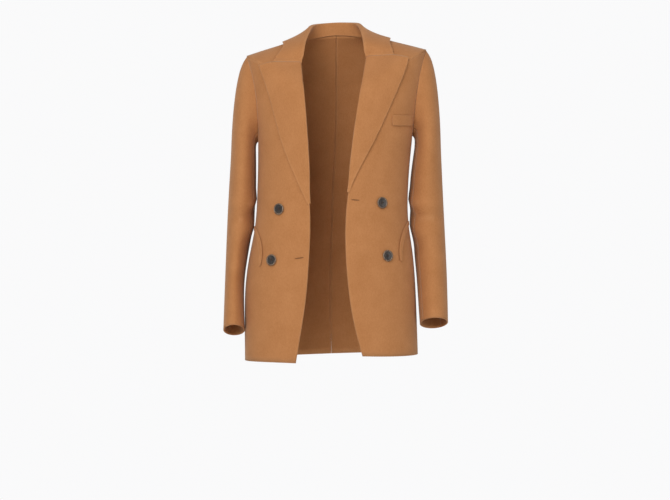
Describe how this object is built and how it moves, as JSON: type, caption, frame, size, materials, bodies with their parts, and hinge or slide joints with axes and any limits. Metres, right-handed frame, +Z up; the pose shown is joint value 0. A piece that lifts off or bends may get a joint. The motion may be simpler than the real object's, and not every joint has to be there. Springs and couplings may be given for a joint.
{
  "type": "double-breasted coat",
  "caption": "Worn double-breasted wool coat of jacket length, open in front, with peak lapels, a turned-down collar, set-in sleeves and curved hip pockets.",
  "frame": {"origin": "between the neck points of the two shoulders, on the centre plane, where a wearer carries the coat", "axes": "+X to the wearer's left, -Y out of the front, +Z up"},
  "size_m": [0.4956, 0.2826, 0.7586],
  "materials": {
    "wool": "dense camel wool, felted and softly napped",
    "horn": "polished dark brown horn"
  },
  "bodies": {
    "root": {"front_right": "wool", "front_left": "wool", "side_right": "wool", "side_left": "wool", "back_right": "wool", "back_left": "wool", "upper_sleeve_right": "wool", "upper_sleeve_left": "wool", "under_sleeve_right": "wool", "under_sleeve_left": "wool", "lapel_right": "wool", "lapel_left": "wool", "collar": "wool", "breast_welt": "wool", "hip_welt_right": "wool", "hip_welt_left": "wool", "button_upper_right": "horn", "button_lower_right": "horn", "button_upper_left": "horn", "button_lower_left": "horn"}
  },
  "joints": []
}
